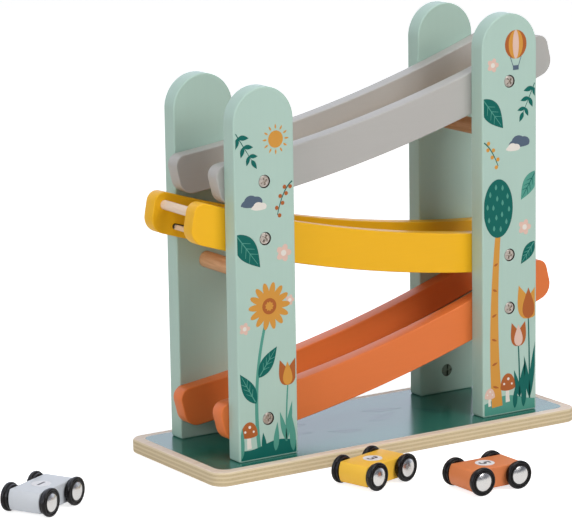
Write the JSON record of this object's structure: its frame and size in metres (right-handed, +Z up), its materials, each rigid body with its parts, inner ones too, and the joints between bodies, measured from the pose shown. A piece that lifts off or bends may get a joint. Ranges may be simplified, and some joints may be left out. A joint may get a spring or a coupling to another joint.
{
  "type": "click clack track toy",
  "caption": "Wooden race track whose curved ramps zigzag between round-topped posts, with cars that tumble from ramp to ramp.",
  "frame": {"origin": "centre of the base board's underside", "axes": "+X along the ramps towards the tall pair of posts, +Y from the printed front towards the back, +Z up"},
  "size_m": [0.4093, 0.2179, 0.27],
  "materials": {
    "plywood": "bare sanded plywood, with a green painted field on its top",
    "mint_paint": "satin paint on wood, with a printed garden pattern on the two front faces",
    "grey_paint": "satin paint on wood",
    "yellow_paint": "satin paint on wood",
    "orange_paint": "satin paint on wood",
    "white_paint": "satin paint on wood",
    "pale_wood": "bare sanded wood",
    "beech": "bare turned wood",
    "steel": "dull plated steel",
    "cap_chrome": "bright plated steel dome",
    "black_plastic": "glossy black plastic",
    "label": "printed sticker with a plain number"
  },
  "bodies": {
    "root": {"base_board": "plywood", "left_brace": "beech", "right_brace": "beech", "foot_pins": "pale_wood", "front_ramp_screws": "steel", "back_ramp_screws": "steel", "post_bolts": "steel", "barrel_nuts": "steel", "front_left_post": "mint_paint", "front_right_post": "mint_paint", "back_left_post": "mint_paint", "back_right_post": "mint_paint", "top_ramp_front_cheek": "grey_paint", "top_ramp_back_cheek": "grey_paint", "top_ramp_floor": "pale_wood", "top_ramp_stop_bar": "pale_wood", "middle_ramp_front_cheek": "yellow_paint", "middle_ramp_back_cheek": "yellow_paint", "middle_ramp_floor": "pale_wood", "middle_ramp_stop_bar": "pale_wood", "bottom_ramp_front_cheek": "orange_paint", "bottom_ramp_back_cheek": "orange_paint", "bottom_ramp_floor": "pale_wood", "bottom_ramp_stop_bar": "pale_wood"},
    "white_car": {"white_car_body": "white_paint", "white_car_label": "label"},
    "white_car_front_wheels": {"white_car_front_axle": "steel", "white_car_front_caps": "cap_chrome", "white_car_front_left_wheel": "black_plastic", "white_car_front_right_wheel": "black_plastic"},
    "white_car_rear_wheels": {"white_car_rear_axle": "steel", "white_car_rear_caps": "cap_chrome", "white_car_rear_left_wheel": "black_plastic", "white_car_rear_right_wheel": "black_plastic"},
    "yellow_car": {"yellow_car_body": "yellow_paint", "yellow_car_label": "label"},
    "yellow_car_front_wheels": {"yellow_car_front_axle": "steel", "yellow_car_front_caps": "cap_chrome", "yellow_car_front_left_wheel": "black_plastic", "yellow_car_front_right_wheel": "black_plastic"},
    "yellow_car_rear_wheels": {"yellow_car_rear_axle": "steel", "yellow_car_rear_caps": "cap_chrome", "yellow_car_rear_left_wheel": "black_plastic", "yellow_car_rear_right_wheel": "black_plastic"},
    "orange_car": {"orange_car_body": "orange_paint", "orange_car_label": "label"},
    "orange_car_front_wheels": {"orange_car_front_axle": "steel", "orange_car_front_caps": "cap_chrome", "orange_car_front_left_wheel": "black_plastic", "orange_car_front_right_wheel": "black_plastic"},
    "orange_car_rear_wheels": {"orange_car_rear_axle": "steel", "orange_car_rear_caps": "cap_chrome", "orange_car_rear_left_wheel": "black_plastic", "orange_car_rear_right_wheel": "black_plastic"}
  },
  "joints": [
    {"name": "white_car_roll", "type": "slide", "parent": "root", "child": "white_car", "axis": [0.8829, 0.4695, 0], "range_m": [-0.06, 0.06]},
    {"name": "white_car_front_spin", "type": "hinge", "parent": "white_car", "child": "white_car_front_wheels", "pos_m": [-0.25601, -0.03438, 0.00875], "axis": [-0.4695, 0.8829, 0], "continuous": true},
    {"name": "white_car_rear_spin", "type": "hinge", "parent": "white_car", "child": "white_car_rear_wheels", "pos_m": [-0.23199, -0.02161, 0.00875], "axis": [-0.4695, 0.8829, 0], "continuous": true},
    {"name": "yellow_car_roll", "type": "slide", "parent": "root", "child": "yellow_car", "axis": [0.9659, 0.2588, 0], "range_m": [-0.06, 0.06]},
    {"name": "yellow_car_front_spin", "type": "hinge", "parent": "yellow_car", "child": "yellow_car_front_wheels", "pos_m": [-0.06514, -0.10052, 0.00875], "axis": [-0.2588, 0.9659, 0], "continuous": true},
    {"name": "yellow_car_rear_spin", "type": "hinge", "parent": "yellow_car", "child": "yellow_car_rear_wheels", "pos_m": [-0.03886, -0.09348, 0.00875], "axis": [-0.2588, 0.9659, 0], "continuous": true},
    {"name": "orange_car_roll", "type": "slide", "parent": "root", "child": "orange_car", "axis": [1, 0, 0], "range_m": [-0.06, 0.06]},
    {"name": "orange_car_front_spin", "type": "hinge", "parent": "orange_car", "child": "orange_car_front_wheels", "pos_m": [-0.0166, -0.146, 0.00875], "axis": [0, 1, 0], "continuous": true},
    {"name": "orange_car_rear_spin", "type": "hinge", "parent": "orange_car", "child": "orange_car_rear_wheels", "pos_m": [0.0106, -0.146, 0.00875], "axis": [0, 1, 0], "continuous": true}
  ]
}
